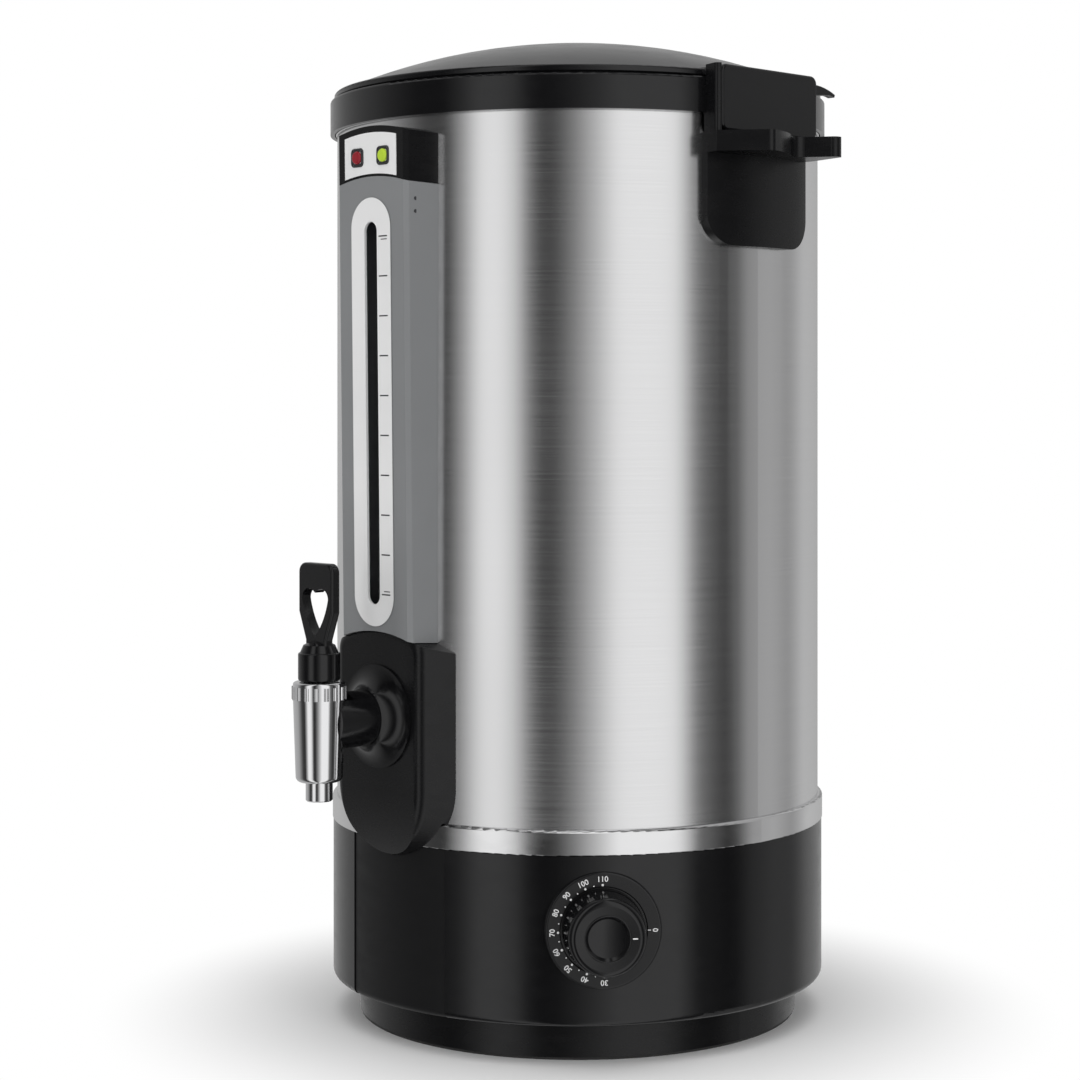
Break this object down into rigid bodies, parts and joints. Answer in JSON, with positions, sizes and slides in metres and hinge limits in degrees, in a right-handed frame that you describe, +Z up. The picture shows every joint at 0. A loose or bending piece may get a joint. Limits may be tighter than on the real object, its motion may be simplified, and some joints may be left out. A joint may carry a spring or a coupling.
{
  "type": "hot water urn",
  "caption": "Upright round steel hot water urn with a domed black lid, grip handles, a sight gauge, indicator lamps, a lever tap and a dial thermostat in its black base.",
  "frame": {"origin": "on the standing surface, on the axis of the round body", "axes": "+Z up, the tap points along -Y, the handles stand on +X and -X"},
  "size_m": [0.349, 0.3663, 0.5578],
  "materials": {
    "brushed_steel": "brushed",
    "polished_steel": "polished",
    "chrome": "polished",
    "black_gloss": "gloss",
    "black_satin": "satin",
    "grey_plastic": "satin",
    "white_plastic": "satin",
    "clear_glass": "clear",
    "red_lens": "clear lens",
    "green_lens": "clear lens",
    "black_rubber": "matte",
    "silicone": "translucent white",
    "aluminium": "cast",
    "spring_steel": "drawn",
    "brass": "machined",
    "dial_print": "gloss with white scale"
  },
  "bodies": {
    "urn_body": {"foot_ring": "black_satin", "foot_strip": "black_rubber", "base_plate": "black_satin", "rubber_feet": "black_rubber", "base_screws": "spring_steel", "base_skirt": "black_gloss", "front_base_panel": "black_satin", "trim_band": "polished_steel", "outer_shell": "brushed_steel", "inner_tank": "brushed_steel", "tank_floor": "brushed_steel", "heater_plate": "aluminium", "heating_element": "spring_steel", "dry_boil_cutout": "black_satin", "thermostat": "black_satin", "thermostat_probe": "brass", "dial_ring": "dial_print", "cord_gland": "black_satin", "terminal_block": "white_plastic", "rim_collar": "black_gloss", "right_handle": "black_gloss", "left_handle": "black_gloss", "handle_screws": "spring_steel", "gauge_housing": "grey_plastic", "gauge_bezel": "white_plastic", "sight_tube": "clear_glass", "tube_cap": "silicone", "tube_seal": "silicone", "gauge_tee": "silicone", "lamp_housing": "black_satin", "lamp_plate": "white_plastic", "red_lens": "red_lens", "green_lens": "green_lens", "tap_cover": "black_satin", "tap_shank": "brass", "tap_flange": "black_gloss", "tap_sleeve": "black_gloss", "tap_gasket": "silicone", "tap_nut": "brass", "tap_barrel": "chrome", "tap_nozzle": "chrome", "tap_bonnet": "chrome", "tap_spring": "spring_steel"},
    "knob_body": {"knob": "black_gloss", "thermostat_shaft": "spring_steel"},
    "valve_body": {"valve_stem": "spring_steel", "seat_cup": "silicone"},
    "lever_body": {"tap_lever": "black_gloss", "lever_pin": "spring_steel"},
    "seal_body": {"lid_gasket": "silicone"},
    "lid_body": {"lid": "black_gloss", "lid_liner": "brushed_steel"}
  },
  "joints": [
    {"name": "knob_turn", "type": "hinge", "parent": "urn_body", "child": "knob_body", "pos_m": [0.11657, -0.0944, 0.0725], "axis": [0.7771, -0.6293, 0], "range_deg": [-268, 0]},
    {"name": "tap_lift", "type": "slide", "parent": "urn_body", "child": "valve_body", "axis": [0, 0, 1], "range_m": [0, 0.0053], "deforming": ["tap_spring"]},
    {"name": "tap_pull", "type": "hinge", "parent": "valve_body", "child": "lever_body", "pos_m": [0, -0.192, 0.209], "axis": [1, 0, 0], "range_deg": [0, 30], "stiffness_Nm_per_rad": 0.1},
    {"name": "lid_lift", "type": "slide", "parent": "urn_body", "child": "seal_body", "axis": [0, 0, 1], "range_m": [0, 0.15]},
    {"name": "lid_turn", "type": "hinge", "parent": "seal_body", "child": "lid_body", "pos_m": [0, 0, 0.525], "axis": [0, 0, 1], "range_deg": [0, 30]}
  ],
  "couplings": [
    {"joint": "tap_lift", "follows": "tap_pull", "m_per_rad": 0.01}
  ]
}
